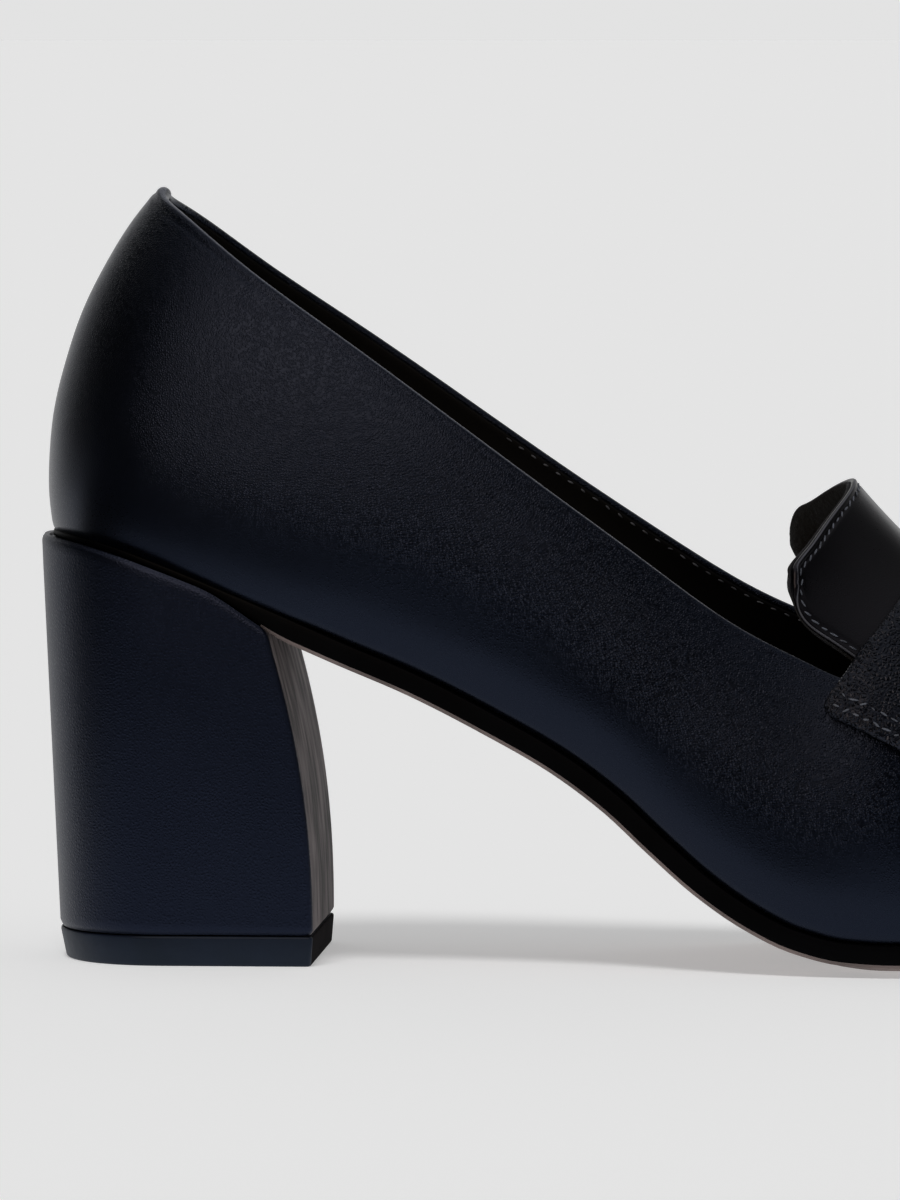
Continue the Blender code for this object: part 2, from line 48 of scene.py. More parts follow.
# Sections of the last from the back of the heel to the toe, one row each
COLUMNS = "foot_x lateral medial top_x top_half top_z medial_up flare rise spread reach drop".split()
SECTIONS = np.array([
    (-26.3, 0.0, 0.0, -7.6, 0.0, 136.4, 0.0, 3.7, 20.0, 0.0, -13.4, 14.4),
    (-19.5, 17.0, 16.8, -1.0, 12.8, 131.8, 0.0, 3.6, 19.0, 7.0, -6.0, 14.5),
    (-5.0, 24.0, 23.3, 11.5, 21.0, 122.2, 0.0, 4.3, 17.0, 6.0, -1.5, 14.5),
    (14.0, 25.5, 24.0, 27.5, 25.8, 111.0, 0.2, 5.0, 15.0, 4.5, 0.0, 14.0),
    (36.0, 25.0, 21.5, 45.0, 27.2, 98.3, 0.8, 5.5, 14.0, 3.5, 0.0, 13.0),
    (58.0, 25.5, 18.5, 63.0, 27.0, 85.0, 1.6, 5.5, 13.5, 3.2, 0.0, 13.0),
    (78.0, 28.5, 20.8, 80.0, 26.6, 72.6, 2.8, 5.0, 14.0, 4.5, 0.0, 14.0),
    (96.0, 33.5, 26.5, 95.5, 27.2, 61.6, 4.2, 4.0, 15.0, 6.5, 0.0, 15.0),
    (112.0, 37.5, 32.5, 108.5, 28.8, 54.9, 4.8, 3.5, 16.0, 8.0, 0.0, 16.0),
    (127.0, 39.0, 37.0, 117.6, 30.4, 51.9, 4.4, 3.0, 15.0, 10.0, 2.0, 14.0),
    (143.0, 37.8, 38.3, 121.3, 27.0, 57.2, 3.8, 3.0, 14.0, 11.0, 7.0, 17.0),
    (160.0, 34.0, 36.5, 125.0, 21.3, 62.6, 2.9, 3.2, 14.0, 10.0, 14.0, 20.0),
    (177.0, 27.5, 31.5, 128.2, 14.8, 67.2, 1.8, 3.5, 15.0, 8.0, 22.0, 25.0),
    (192.0, 18.5, 23.5, 130.6, 8.6, 70.4, 0.8, 4.0, 17.0, 5.0, 30.0, 30.0),
    (201.5, 8.0, 14.0, 131.7, 3.6, 71.9, 0.3, 4.5, 19.0, 2.0, 36.0, 33.0),
    (204.5, -4.0, 4.0, 131.9, 0.0, 72.2, 0.0, 5.0, 20.0, 0.0, 38.0, 34.0),
])
FIRST_THROAT_ROW = 9

# Height of the last's bottom along the shoe
BOTTOM_X = (-30.0, -20.0, -13.0, -6.0, 1.0, 14.0, 28.0, 40.0, 55.0, 66.0, 76.0, 84.0, 92.0, 100.0,
            108.0, 116.0, 124.0, 152.0, 168.0, 184.0, 196.0, 206.0)
BOTTOM_Z = (76.9, 75.6, 73.9, 71.5, 68.8, 63.4, 57.3, 52.2, 44.6, 38.4, 31.2, 24.0, 17.2, 11.9,
            8.2, 6.4, 6.0, 6.0, 6.6, 8.5, 10.9, 13.4)

# Tongue: how its free length turns and where its top edge lies, at five points across it
FLAP_ACROSS = (-1.0, -0.5, 0.0, 0.5, 1.0)
FLAPS = np.array([
    (-15.2, 1.2, 10.6, -12.8, 1.8, 19.2),
    (-9.5, 0.3, 7.4, -15.6, -0.4, 13.6),
    (-7.5, 0.0, 6.9, -14.0, 0.0, 14.4),
    (-10.5, -0.8, 7.6, -15.8, -2.0, 15.4),
    (-20.0, -1.8, 7.2, -17.6, -4.2, 20.0),
])
TONGUE_SPAN = 5.4
TONGUE_FOOT_SHARE = 0.11
TONGUE_DEPTH = 2.3
TONGUE_CORNERS = (1.4, 7.5)
TONGUE_NEAR_DROP = 2.2
TONGUE_NEAR_BULGE = 2.0
TONGUE_LEATHER = 1.1
TONGUE_LINING = 0.7
TONGUE_STITCH_IN = 1.25

# Strap
STRAP_REAR = (111.9, 0.0, 47.3)
STRAP_ANGLE = math.radians(54.3)
STRAP_WIDTH = 31.0
STRAP_REACH = (50.0, 48.5)
STRAP_CORNER = 3.0
STRAP_GAP = 0.5
STRAP_THICK = 1.6
STRAP_ROWS_IN = (2.0, 4.2)

# Sole and heel
SOLE_SEAT_THICK = 1.2
SOLE_THICK = 4.0
SOLE_RAMP_X = (2.0, 20.0)
PIECE_GAP = 0.3
HEEL_TOP = dict(back=-28.2, half=27.4, depth=24.0)
HEEL_FOOT = dict(back=-25.0, half=24.6, depth=19.5)
HEEL_POWER = 2.0 / 2.2
BREAST_FOOT_X = 21.9
BREAST_SWEEP = 8.1
BREAST_POWER = 2.2
BREAST_HEIGHT = 54.4
LIFT_HEIGHT = 5.3
HEEL_LIP = 0.55
HEEL_CORNER = 1.0
# Levels of the sole's edge, top to bottom: outset from the feather line, share of the thickness
SOLE_LEVELS = ((-0.45, 0.0), (-0.08, 0.03), (0.0, 0.10), (0.04, 0.30), (0.04, 0.60), (0.0, 0.84),
               (-0.02, 0.86), (-0.10, 0.96), (-0.35, 1.0))
TREAD_LEVEL = 5
# Levels of the sock: outset from the feather line, depth below the last
SOCK_LEVELS = ((-2.6, -2.0), (-2.1, -1.8), (-2.0, -1.0), (-2.0, 0.0))
# Rings of the top lift from the floor up: height, taper, how far the front stands back, inset
LIFT_RINGS = ((0.0, 1.1, 0.4, 0.35), (0.12, 1.08, 0.39, 0.10), (0.4, 1.0, 0.37, 0.0),
              (2.6, 0.55, 0.2, 0.0), (4.8, 0.1, 0.04, 0.0), (5.15, 0.03, 0.01, 0.10),
              (LIFT_HEIGHT, 0.0, 0.0, 0.35))
LIFT_CORNER = 0.8
BACK_STEPS, FLANK_STEPS, CORNER_STEPS, FRONT_STEPS = 34, 13, 8, 13
BREAST_START = BACK_STEPS + FLANK_STEPS + CORNER_STEPS - 2

# Upper: the leather wall, its folded top edge and the lining inside it
AROUND = 480
UP_OUTER = 84
UP_FOLD = 11
UP_INNER = 26
LEATHER_THICK = 1.3
SEAT_LAP = 0.9
FEATHER_PULL = 0.40
PRESSED_LINE = 2.15
FOLD_HEIGHT = 0.055
BLOOM_AT, BLOOM_REACH = (18.0, 98.0), (34.0, 24.0)
BACK_BEAD = 1.4
LINING_AROUND = 300
LINING_UP = 30
LINING_DEPTHS = (1.35, 2.0)
LINING_DROP = 1.1
# Angles round a half-round rim, from the outer face to the back
RIM_TURN = np.linspace(math.pi / 2, -math.pi / 2, 7)[1:-1]

# Seams: from one stitch to the next, its length and half its width, how slanted and how uneven
COLLAR_STITCH = dict(pitch=2.7, length=1.2, radius=0.20, lean=0.0, uneven=0.15)
TONGUE_STITCH = dict(pitch=2.0, length=1.5, radius=0.18, lean=0.22, uneven=0.2)
STRAP_STITCH = dict(pitch=2.0, length=1.5, radius=0.20, lean=0.30, uneven=0.35)
COLLAR_SEAM_FROM = 52.0
COLLAR_SEAM_DOWN = 1.75


def cubic(f, start, stop, slope_in, slope_out):
    """The cubic from start to stop, at f from 0 to 1, with the given slopes at its two ends."""
    return (start * (1 + 2 * f) * (1 - f) ** 2 + slope_in * f * (1 - f) ** 2
            + stop * f * f * (3 - 2 * f) + slope_out * f * f * (f - 1))


def monotone_curve(knots_x, knots_y, x):
    """Cubic through the knots with harmonic-mean slopes, so that it never overshoots them."""
    kx, ky = np.asarray(knots_x, float), np.asarray(knots_y, float)
    step = np.diff(kx)
    slope = np.diff(ky) / step
    tangent = np.zeros(len(kx))
    same = slope[:-1] * slope[1:] > 0.0
    w1 = 2.0 * step[1:] + step[:-1]
    w2 = step[1:] + 2.0 * step[:-1]
    a = np.where(same, slope[:-1], 1.0)
    b = np.where(same, slope[1:], 1.0)
    tangent[1:-1] = np.where(same, (w1 + w2) / (w1 / a + w2 / b), 0.0)
    tangent[0], tangent[-1] = slope[0], slope[-1]
    x = np.clip(np.asarray(x, float), kx[0], kx[-1])
    i = np.clip(np.searchsorted(kx, x) - 1, 0, len(kx) - 2)
    h = step[i]
    return cubic((x - kx[i]) / h, ky[i], ky[i + 1], h * tangent[i], h * tangent[i + 1])


def ring_curve(values, u):
    """Closed cubic with continuous curvature through evenly numbered rows, read at row numbers u."""
    n = len(values)
    system = 4.0 * np.eye(n) + np.roll(np.eye(n), 1, axis=1) + np.roll(np.eye(n), -1, axis=1)
    tangent = np.linalg.solve(system, 3.0 * (np.roll(values, -1, axis=0) - np.roll(values, 1, axis=0)))
    u = np.asarray(u, float) % n
    i = np.floor(u).astype(int) % n
    j = (i + 1) % n
    return cubic((u - np.floor(u))[..., None], values[i], values[j], tangent[i], tangent[j])


def ease(x, start, stop):
    """0 before start and 1 after stop, with the cubic 3f^2 - 2f^3 between them."""
    f = np.clip((np.asarray(x, float) - start) / (stop - start), 0.0, 1.0)
    return f * f * (3 - 2 * f)


def hump(x, centre, width):
    """A bell of height 1 at centre that falls as exp(-(x - centre)^2 / width^2)."""
    return np.exp(-((np.asarray(x, float) - centre) / width) ** 2)


def last_bottom(x):
    """Height of the last's bottom at x."""
    return monotone_curve(BOTTOM_X, BOTTOM_Z, x)


def below_last(x, depth):
    """Points of the last's bottom curve moved square to the curve, down by depth."""
    x = np.asarray(x, float)
    slope = last_bottom(x + 0.5) - last_bottom(x - 0.5)
    run = np.sqrt(1.0 + slope * slope)
    return x + depth * slope / run, last_bottom(x) - depth / run


def ring_rows():
    """The rows once round the shoe: toe, lateral side, back of the heel, medial side.

    The medial top edge is raised, and in front of the throat it is also moved forward so that it
    stays in the slanting plane of the strap.
    """
    order = np.concatenate([np.arange(len(SECTIONS))[::-1], np.arange(1, len(SECTIONS) - 1)])
    side = np.concatenate([-np.ones(len(SECTIONS)), np.ones(len(SECTIONS) - 2)])
    row = dict(zip(COLUMNS, SECTIONS[order].T))
    up = np.where(side > 0, row["medial_up"], 0.0)
    forward = np.where(order >= FIRST_THROAT_ROW, up / math.tan(STRAP_ANGLE), 0.0)
    foot_y = side * np.where(side > 0, row["medial"], row["lateral"])
    return np.stack([row["foot_x"], foot_y, row["top_x"] + forward, side * row["top_half"],
                     row["top_z"] + up, row["flare"], row["rise"], side * row["spread"],
                     row["reach"], row["drop"]], axis=-1)


ROWS = ring_rows()
ROW_COUNT = len(ROWS)
BACK_ROW = len(SECTIONS) - 1


def unit(vectors):
    """Vectors divided by their length."""
    return vectors / np.maximum(np.linalg.norm(vectors, axis=-1, keepdims=True), 1e-12)


def feather_plan(u, outset=0.0):
    """The feather line in plan, moved outward by outset, and its outward direction."""
    u = np.asarray(u, float)
    along = unit(ring_curve(ROWS[:, :2], u + 0.02) - ring_curve(ROWS[:, :2], u - 0.02))
    out = np.stack([-along[..., 1], along[..., 0]], axis=-1)
    return ring_curve(ROWS[:, :2], u) + np.asarray(outset, float)[..., None] * out, out


def upper_skin(u, t):
    """Outer face of the upper: a cubic arc from the feather line, t = 0, to the top edge, t = 1."""
    u, t = np.broadcast_arrays(np.asarray(u, float), np.asarray(t, float))
    values = ring_curve(ROWS, u)
    plan, out = feather_plan(u)
    foot = np.stack([plan[..., 0], plan[..., 1], last_bottom(plan[..., 0])], axis=-1)
    top = values[..., 2:5]
    flare, rise, spread, reach, drop = [values[..., k, None] for k in range(5, 10)]
    low = foot + flare * np.concatenate([out, np.zeros(out.shape[:-1] + (1,))], axis=-1)
    low = low + rise * np.array([0.0, 0.0, 1.0])
    high = top + np.concatenate([reach, spread, -drop], axis=-1)
    t = t[..., None]
    return (1 - t) ** 3 * foot + 3 * t * (1 - t) ** 2 * low + 3 * t * t * (1 - t) * high + t ** 3 * top


def upper_normal(u, t):
    """Unit normal of the upper's outer face, from the cross product of its two slopes."""
    u, t = np.broadcast_arrays(np.asarray(u, float), np.asarray(t, float))
    along = upper_skin(u + 0.02, t) - upper_skin(u - 0.02, t)
    upward = upper_skin(u, t + 0.01) - upper_skin(u, t - 0.01)
    return unit(np.cross(upward, along))


def quads(rows, columns, close_rows=False, close_columns=False):
    """Corner numbers of the quads of a grid of points stored row by row, joined round if closed."""
    i = np.arange(rows if close_rows else rows - 1)[:, None]
    j = np.arange(columns if close_columns else columns - 1)
    i2, j2 = (i + 1) % rows, (j + 1) % columns
    corners = (i * columns + j, i * columns + j2, i2 * columns + j2, i2 * columns + j)
    return np.stack(np.broadcast_arrays(*corners), axis=-1).reshape(-1, 4)


def linked(name, data):
    """A new object of the given data, linked into the scene."""
    made = bpy.data.objects.new(name, data)
    bpy.context.scene.collection.objects.link(made)
    return made


def signed_volume(points, faces):
    """Six times the volume inside a closed mesh of quads, negative where its faces point inwards."""
    a, b, c, d = (points[faces[:, k]] for k in range(4))
    first = np.einsum("ij,ij->i", a, np.cross(b, c))
    return float(np.sum(first + np.einsum("ij,ij->i", a, np.cross(c, d))))


def piece(name, points, faces, materials, slot, nodes=(), index=None, values=None, sharp=60.0):
    """A closed mesh object from points in millimetres and quads, riding on the shoe's body.

    The faces are turned outward by the sign of the volume that they enclose. index gives the
    material of each face, and values are numbers kept on the points as named attributes.
    """
    points = np.asarray(points, float).reshape(-1, 3)
    if signed_volume(points, faces) < 0.0:
        faces = faces[:, ::-1]
    mesh = bpy.data.meshes.new(name)
    mesh.from_pydata(points * MM, [], faces)
    if index is not None:
        mesh.polygons.foreach_set("material_index", np.asarray(index, np.int32))
    for key, numbers in (values or {}).items():
        layer = mesh.attributes.new(key, "FLOAT", "POINT")
        layer.data.foreach_set("value", np.asarray(numbers, np.float32).ravel())
    work = bmesh.new()
    work.from_mesh(mesh)
    bmesh.ops.remove_doubles(work, verts=work.verts, dist=0.000002)
    bmesh.ops.dissolve_degenerate(work, dist=0.000001, edges=work.edges)
    work.to_mesh(mesh)
    work.free()
    mesh.validate()
    mesh.shade_smooth()
    mesh.set_sharp_from_angle(angle=math.radians(sharp))
    for material in materials:
        mesh.materials.append(material)
    made = linked(name, mesh)
    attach(made, "root")
    if nodes:
        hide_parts(*nodes)


class Wire:
    """A shader socket that can stand in sums: a + b, 1 - a and a * b add their Math nodes."""

    def __init__(self, tree, socket=None):
        self.tree, self.socket = tree, socket

    def node(self, kind, settings, values, output=0):
        """Add a node of any kind: its settings are set first, then its sockets' values or links."""
        made = self.tree.nodes.new(kind)
        for key, value in settings.items():
            setattr(made, key, value)
        for key, value in values.items():
            self.feed(made.inputs[key], value)
        return Wire(self.tree, made.outputs[output])

    def feed(self, socket, value):
        """Link a wire into a socket, or set the socket's own value."""
        if isinstance(value, Wire):
            self.tree.links.new(value.socket, socket)
        else:
            socket.default_value = value

    def math(self, operation, a, b=0.0):
        return self.node("ShaderNodeMath", {"operation": operation}, {0: a, 1: b})

    def __add__(self, other):
        return self.math("ADD", self, other)

    def __rsub__(self, other):
        return self.math("SUBTRACT", other, self)

    def __mul__(self, other):
        return self.math("MULTIPLY", self, other)

    __radd__ = __add__
    __rmul__ = __mul__

    def ease(self, start, stop):
        """0 below start and 1 above stop, eased between."""
        return self.node("ShaderNodeMapRange", {"interpolation_type": "SMOOTHSTEP"},
                         {0: self, 1: start, 2: stop, 3: 0.0, 4: 1.0})


def new_finish(name):
    """An empty material with its shader, and the wire that its nodes are made from."""
    material = bpy.data.materials.new(name)
    material.use_nodes = True
    return material, material.node_tree.nodes["Principled BSDF"], Wire(material.node_tree)


def blend(wire, factor, a, b):
    """A colour between a and b by factor."""
    return wire.node("ShaderNodeMix", {"data_type": "RGBA"}, {0: factor, 6: a, 7: b}, output=2)


def shader_set(wire, shader, **values):
    """Set or link the shader's sockets, named with underscores for spaces."""
    for key, value in values.items():
        wire.feed(shader.inputs[key.replace("_", " ")], value)


def tone(colour, level=1.0):
    """An opaque colour, level times as bright."""
    return (*[level * part for part in colour], 1.0)


def bump(wire, height, depth):
    """A normal that reads height as relief of the given depth in millimetres."""
    return wire.node("ShaderNodeBump", {}, {"Strength": 1.0, "Distance": depth * MM, "Height": height})


def carried(wire, name):
    """The numbers that a piece carries on its points under a name."""
    return wire.node("ShaderNodeAttribute", {"attribute_name": name}, {}, output=2)


def place(wire):
    """The point of the surface, in the shoe's own metres."""
    return wire.node("ShaderNodeTexCoord", {}, {}, output=3)


def noise(wire, scale, detail=2.0, rough=0.5, streak=None):
    """Smooth noise of features 1 / scale metres wide, from 0 to 1, drawn out where streak is small."""
    at = place(wire)
    if streak is not None:
        at = wire.node("ShaderNodeMapping", {}, {"Vector": at, "Scale": streak})
    return wire.node("ShaderNodeTexNoise", {},
                     {"Vector": at, "Scale": scale, "Detail": detail, "Roughness": rough})


def pebble(wire, scale, wander):
    """Leather grain: rounded cells between fine creases, their places pushed about by noise."""
    shift = wire.node("ShaderNodeTexNoise", {}, {"Vector": place(wire), "Scale": scale * 0.6}, output=1)
    moved = wire.node("ShaderNodeVectorMath", {"operation": "MULTIPLY_ADD"},
                      {0: shift, 1: (wander, wander, wander), 2: place(wire)})
    cell = wire.node("ShaderNodeTexVoronoi", {"feature": "DISTANCE_TO_EDGE"},
                     {"Vector": moved, "Scale": scale})
    return cell.ease(0.0, 0.42)


# Leather finishes: how many noise features there are to a metre, and the tones of dye and tints
CLOUDS = 55.0
PORES = 1400.0
# Painted highlight: the paler tone mixed into the top of the upper's folded edge
FOLD_HIGHLIGHT_TONE = (0.075, 0.080, 0.100)
NAVY = (0.0008, 0.0010, 0.0018)
COOL = (0.34, 0.44, 0.74)
WHITE = (1.0, 1.0, 1.0)


def calf(name, colour, tint, roughness, grain, depth, mapped=False):
    """Dyed calf: navy-black, with pebbled grain, cloudy dye and slightly uneven gloss.

    grain is the width of a grain cell and depth its relief, both in millimetres. A mapped calf
    reads numbers that its piece carries: the grain fades out as "grained" goes to zero, the gloss
    is softer by "bloom", and a third number mixes a paler tone into the dye: a painted highlight along
    the folded top edge.
    """
    material, shader, wire = new_finish(name)
    cells = pebble(wire, 1.0 / (grain * MM), 0.35 * grain * MM)
    clouds = noise(wire, CLOUDS, 3.0)
    height = cells * 0.75 + noise(wire, PORES, 2.0) * 0.35
    dye = blend(wire, clouds.ease(0.3, 0.7), tone(colour, 0.72), tone(colour, 1.25))
    rough = clouds * 0.08 + (roughness - 0.04) + (1 - cells) * 0.06
    if mapped:
        height = height * (carried(wire, "grained") * 0.85 + 0.15)
        # painted highlight: a paler tone mixed into the dye along the folded top edge
        dye = blend(wire, carried(wire, "fold_highlight"), dye, tone(FOLD_HIGHLIGHT_TONE))
        rough = rough + carried(wire, "bloom") * 0.10
    shader_set(wire, shader, Base_Color=dye, Roughness=rough, Normal=bump(wire, height, depth),
               Specular_Tint=tone(tint))
    return material


def plain_leather(name, colour, roughness, scale, depth, gloss=0.5, tint=WHITE, streak=None,
                  uneven=0.3):
    """A matt leather or lining with a fine irregular nap, its tone a little uneven.

    streak stretches the pattern: shares of its scale along x, y and z.
    """
    material, shader, wire = new_finish(name)
    nap = noise(wire, scale, 4.0, 0.65, streak)
    clouds = noise(wire, 90.0 if streak is None else 0.5 * scale, 2.0, 0.5, streak)
    dye = blend(wire, clouds.ease(0.25, 0.75), tone(colour, 1.0 - uneven), tone(colour, 1.0 + uneven))
    shader_set(wire, shader, Base_Color=dye, Roughness=nap * 0.15 + (roughness - 0.07),
               Normal=bump(wire, nap, depth), Specular_IOR_Level=gloss, Specular_Tint=tone(tint))
    return material


def thread_finish(name, colour):
    """Waxed thread: fine slanting ply lines across the stitch, slightly soiled."""
    material, shader, wire = new_finish(name)
    ply = wire.node("ShaderNodeTexWave", {"wave_type": "BANDS", "bands_direction": "DIAGONAL"},
                    {"Vector": place(wire), "Scale": 900.0, "Distortion": 0.6})
    soil = noise(wire, 600.0, 2.0).ease(0.25, 0.6)
    shader_set(wire, shader, Base_Color=blend(wire, soil, tone(colour, 0.45), tone(colour)),
               Roughness=ply * 0.1 + 0.5, Normal=bump(wire, ply, 0.05))
    return material


UPPER_CALF = calf("upper_calf", NAVY, COOL, 0.25, 0.42, 0.080, mapped=True)
STRAP_CALF = calf("strap_calf", NAVY, (0.52, 0.58, 0.80), 0.24, 0.75, 0.220)
TONGUE_CALF = calf("tongue_calf", (0.0008, 0.0008, 0.0011), (0.60, 0.57, 0.68), 0.28, 0.40, 0.012)
HEEL_CALF = calf("heel_calf", (0.0012, 0.0016, 0.0030), (0.37, 0.48, 0.88), 0.37, 0.60, 0.040)
BREAST_CALF = plain_leather("breast_calf", (0.110, 0.094, 0.096), 0.70, 520.0, 0.40, gloss=0.20,
                            tint=(1.0, 0.94, 0.92), streak=(1.0, 1.0, 0.30), uneven=0.90)
LINING = plain_leather("lining_leather", (0.0010, 0.0010, 0.0013), 0.62, 900.0, 0.05, gloss=0.15)
SUEDE = plain_leather("tongue_lining", (0.010, 0.010, 0.013), 0.80, 900.0, 0.45, gloss=0.5, uneven=0.7)
# Painted highlight: a pale line on one strip of the tongue's cut edge
CUT_EDGE_HIGHLIGHT = plain_leather("cut_edge_highlight", (0.07, 0.07, 0.085), 0.55, 900.0, 0.05)
SOCK = plain_leather("sock_leather", (0.006, 0.006, 0.007), 0.55, 600.0, 0.06, gloss=0.3)
EDGE_PAINT = plain_leather("edge_paint", (0.0010, 0.0010, 0.0014), 0.50, 500.0, 0.03, gloss=0.04)
SOLE_LEATHER = plain_leather("sole_leather", (0.20, 0.155, 0.145), 0.62, 800.0, 0.04, gloss=0.4)
LIFT_FRONT = plain_leather("lift_front", (0.0090, 0.0075, 0.0085), 0.98, 700.0, 0.10, gloss=0.02)
LIFT_RUBBER = plain_leather("lift_rubber", (0.0040, 0.0058, 0.0150), 0.52, 700.0, 0.03, gloss=0.42,
                            tint=(0.60, 0.78, 1.0))
PALE_THREAD = thread_finish("pale_thread", (0.12, 0.13, 0.16))
DIM_THREAD = thread_finish("dim_thread", (0.10, 0.10, 0.11))


def fold_radius(u):
    """Half the thickness of the turned top edge, fuller at the back where the seam is."""
    return 0.82 + 0.55 * hump(u, BACK_ROW, 0.45)


def top_frame(u):
    """At the top edge: the skin's upward direction, and its speed in mm per unit of t."""
    rise = (upper_skin(u, 1.0) - upper_skin(u, 0.99)) / 0.01
    return unit(rise), np.linalg.norm(rise, axis=-1)


def strap_grid(distances, shares):
    """Row numbers and wall shares of the strap's lines, and how far in from its ends they lie.

    Each line is where a plane parallel to the rear edge cuts the skin. shares are places along the
    line, from -1 at the lateral end to 1 at the medial end, at even arc lengths.
    """
    u = np.linspace(-8.0, 8.0, 321)
    t = np.linspace(0.02, 1.12, 221)
    forward = np.array([math.sin(STRAP_ANGLE), 0.0, -math.cos(STRAP_ANGLE)])
    depth = (upper_skin(u[:, None], t) - np.array(STRAP_REAR)) @ forward
    lines = []
    for distance in distances:
        falls = (depth[:, :-1] >= distance) & (depth[:, 1:] < distance)
        at = np.nonzero(falls.any(axis=1))[0]
        k = falls.shape[1] - 1 - np.argmax(falls[at, ::-1], axis=1)
        above, below = depth[at, k], depth[at, k + 1]
        cut_u = u[at]
        cut_t = t[k] + (t[k + 1] - t[k]) * (above - distance) / (above - below)
        step = np.linalg.norm(np.diff(upper_skin(cut_u, cut_t), axis=0), axis=1)
        run = np.concatenate([[0.0], np.cumsum(step)])
        run = run - np.interp(0.0, cut_u, run)
        reach = STRAP_REACH[0] + (STRAP_REACH[1] - STRAP_REACH[0]) * distance / STRAP_WIDTH
        corner = STRAP_CORNER - min(distance, STRAP_WIDTH - distance, STRAP_CORNER)
        reach -= STRAP_CORNER - math.sqrt(STRAP_CORNER ** 2 - corner ** 2)
        arc = np.clip(shares * reach, run[0], run[-1])
        lines.append((np.interp(arc, run, cut_u), np.interp(arc, run, cut_t),
                      reach - np.abs(shares * reach)))
    return np.array(lines).transpose(1, 0, 2)


def nearest(points, line):
    """Distance from each point to a line's points, and the number of the nearest one."""
    gaps = np.linalg.norm(points[..., None, :] - line, axis=-1)
    return gaps.min(axis=-1), gaps.argmin(axis=-1)


def strap_end_line(side):
    """The end edge of the strap on the vamp, from its rear corner to its front corner."""
    u, t, _ = strap_grid(np.linspace(0.0, STRAP_WIDTH, 40), np.array([side]))
    return upper_skin(u[:, 0], t[:, 0])


def upper_relief(skin, from_top, from_feather):
    """Low relief of the leather, in mm along its normal.

    It is pulled in at the feather, a shade fuller over the turned edge with a pressed line under
    it that puckers towards the back, drawn into short folds below the strap's ends, and faintly
    uneven all over.
    """
    x = skin[..., 0]
    relief = -FEATHER_PULL * (1.0 - ease(from_feather, 0.0, 1.4))
    rear = 1.0 - ease(x, 30.0, 75.0)
    pucker = 0.5 + 0.5 * np.sin(x * 2.1 + 1.7 * np.sin(x * 0.53) + 0.6 * np.sin(x * 5.3))
    line = PRESSED_LINE + 0.12 * np.sin(x * 0.9) * rear
    relief += 0.10 * (1.0 - ease(from_top, 1.2, 2.4))
    relief -= (0.05 + 0.13 * rear) * hump(from_top, line, 0.42)
    relief += rear * 0.07 * pucker * hump(from_top, line + 0.9, 0.7)
    relief += rear * 0.05 * pucker * hump(from_top, line - 0.8, 0.5)
    wave = np.sin(x * 0.17 + skin[..., 2] * 0.11) * np.sin(skin[..., 2] * 0.21 - x * 0.06)
    relief += 0.10 * wave * ease(from_feather, 4.0, 14.0) * ease(from_top, 3.0, 10.0)
    for side in (-1.0, 1.0):
        gap, at = nearest(skin, strap_end_line(side))
        fold = np.sin(at * 1.9 + 0.9 * np.sin(at * 0.43))
        relief += FOLD_HEIGHT * fold * np.exp(-gap / 2.4) * (1.0 - ease(gap, 5.0, 9.0))
    return relief


def make_upper():
    """The leather wall: outer face, folded top edge and back face, closed round in both ways."""
    u = np.arange(AROUND) * ROW_COUNT / AROUND
    radius = fold_radius(u)
    rise, speed = top_frame(u)
    t_top = 1.0 + (BACK_BEAD * hump(u, BACK_ROW, 0.30) - radius) / speed
    foot_speed = np.linalg.norm(upper_skin(u, 0.01) - upper_skin(u, 0.0), axis=-1) / 0.01
    t_foot = -SEAT_LAP / foot_speed * (1.0 - ease(upper_skin(u, 0.0)[:, 0], 6.0, 24.0))
    shares = np.linspace(0.0, 1.0, UP_OUTER) ** 0.92
    t = t_foot + shares[:, None] * (t_top - t_foot)
    skin, normal = upper_skin(u, t), upper_normal(u, t)
    steps = np.linalg.norm(np.diff(skin, axis=0), axis=-1)
    from_feather = np.concatenate([np.zeros((1, AROUND)), np.cumsum(steps, axis=0)])
    from_top = from_feather[-1:] - from_feather + radius
    relief = upper_relief(skin, from_top, from_feather)
    relief = relief * (1.0 - ease(shares, 0.985, 1.0))[:, None]
    outer = skin + normal * relief[..., None]
    turn = np.linspace(math.pi / 2, -math.pi / 2, UP_FOLD)[1:, None, None]
    r = radius[:, None]
    fold = skin[-1] - normal[-1] * r + r * (np.sin(turn) * normal[-1] + np.cos(turn) * rise)
    back_t = t_foot + np.linspace(1.0, 0.0, UP_INNER + 1)[1:, None] * (t_top - t_foot)
    back = upper_skin(u, back_t)
    drop = np.linalg.norm(back - skin[-1], axis=-1)
    depth = LEATHER_THICK + (2.0 * radius - LEATHER_THICK) * (1.0 - ease(drop, 0.0, 1.2))
    back = back - upper_normal(u, back_t) * depth[..., None]
    points = np.concatenate([outer, fold, back])
    grained = np.ones(points.shape[:2])
    grained[:UP_OUTER] = ease(from_feather, 6.0, 26.0) * (0.25 + 0.75 * ease(skin[..., 0], -22.0, 2.0))
    bloom = (hump(points[..., 0], BLOOM_AT[0], BLOOM_REACH[0])
             * hump(points[..., 2], BLOOM_AT[1], BLOOM_REACH[1]))
    faces = quads(len(points), AROUND, close_rows=True, close_columns=True)
    # Painted highlight along the top of the folded edge, made paler most at the back
    fold_highlight = np.zeros(points.shape[:2])
    fold_highlight[UP_OUTER + 1:UP_OUTER + 4] = 0.35 + 0.65 * (1.0 - ease(fold[0, :, 0], 20.0, 110.0))
    piece("upper_leather_shell", points, faces, [UPPER_CALF], "upper_leather", ["upper"],
          values={"grained": grained, "bloom": bloom, "fold_highlight": fold_highlight})


